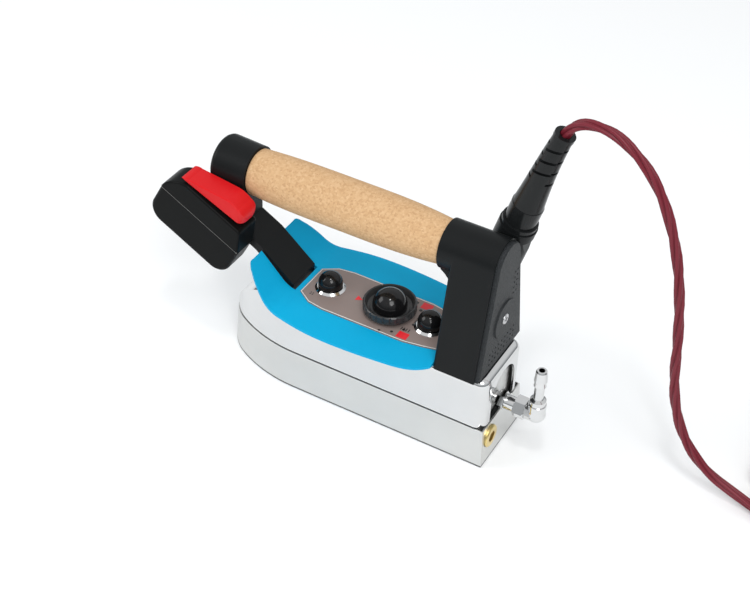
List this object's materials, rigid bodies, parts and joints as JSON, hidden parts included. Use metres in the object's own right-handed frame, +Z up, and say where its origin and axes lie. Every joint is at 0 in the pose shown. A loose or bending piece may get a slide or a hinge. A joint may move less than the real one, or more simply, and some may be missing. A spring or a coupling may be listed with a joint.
{
  "type": "steam generator iron",
  "caption": "Narrow professional steam iron with a chromed cover, blue heat shield, cork grip, thumb switch, temperature dial and mains cable.",
  "frame": {"origin": "on the sole's contact face, at the middle of the heel's edge", "axes": "+X from the heel to the nose, +Y to the operator's left, where the thumb switch is, +Z up out of the sole"},
  "size_m": [0.5334, 0.1716, 0.263],
  "materials": {
    "sole_alloy": "satin",
    "chrome": "polished",
    "steel": "satin",
    "brass": "satin",
    "blue_sheet": "gloss",
    "label": "satin",
    "black_gloss": "gloss",
    "black_satin": "satin",
    "grey_plate": "matte",
    "cork": "matte",
    "red_plastic": "gloss",
    "red_cable": "satin",
    "black_rubber": "matte",
    "inner_plastic": "matte"
  },
  "bodies": {
    "iron": {"sole_block": "sole_alloy", "heater_element": "steel", "chamber_plate": "sole_alloy", "chamber_screw_1": "steel", "chamber_screw_2": "steel", "chamber_screw_3": "steel", "thermostat_body": "steel", "cover_seal": "black_rubber", "chrome_cover": "chrome", "inlet_plate": "steel", "stud_front": "steel", "stud_rear": "steel", "shield_spacer_front": "steel", "shield_spacer_rear": "steel", "cup_washer_front": "chrome", "cup_washer_rear": "chrome", "acorn_nut_front": "black_gloss", "acorn_nut_rear": "black_gloss", "heat_shield": "blue_sheet", "label_plate": "label", "column_gasket": "black_rubber", "column_shell": "black_gloss", "column_plate": "grey_plate", "plate_screw": "steel", "terminal_block": "inner_plastic", "thermal_fuse": "inner_plastic", "cork_grip": "cork", "tie_rod": "steel", "front_cap": "black_gloss", "front_arm": "black_satin", "switch_lid": "black_satin", "switch_base": "black_satin", "box_joint": "inner_plastic", "button_pin": "steel", "microswitch_body": "black_satin", "switch_bracket": "steel", "steam_adapter": "chrome", "lock_nut": "chrome", "union_nut": "chrome", "steam_elbow": "chrome", "hose_barb": "chrome", "brass_plug": "brass", "relief_neck": "black_satin", "strain_boot": "black_rubber", "boot_ring": "black_rubber", "cord": "red_cable", "cord_tail": "red_cable", "cord_coil": "red_cable", "coil_tie": "inner_plastic", "plug_boot": "black_rubber", "plug_body": "black_rubber", "plug_pin_1": "brass", "plug_pin_2": "brass"},
    "button": {"red_button": "red_plastic"},
    "plunger": {"switch_plunger": "red_plastic"},
    "dial": {"dial_shaft": "steel", "dial_skirt": "black_gloss", "dial_knob": "black_gloss"}
  },
  "joints": [
    {"name": "button_press", "type": "hinge", "parent": "iron", "child": "button", "pos_m": [0.23608, 0.0282, 0.15213], "axis": [0, -1, 0], "range_deg": [0, 4], "stiffness_Nm_per_rad": 0.8, "springref_deg": -2.01},
    {"name": "plunger_press", "type": "slide", "parent": "iron", "child": "plunger", "axis": [0.4787, 0, -0.878], "range_m": [0, 0.00166]},
    {"name": "dial_turn", "type": "hinge", "parent": "iron", "child": "dial", "pos_m": [0.0926, 0, 0.08], "axis": [0, 0, 1], "range_deg": [-140, 140]}
  ],
  "couplings": [
    {"joint": "plunger_press", "follows": "button_press", "m_per_rad": 0.0235}
  ]
}
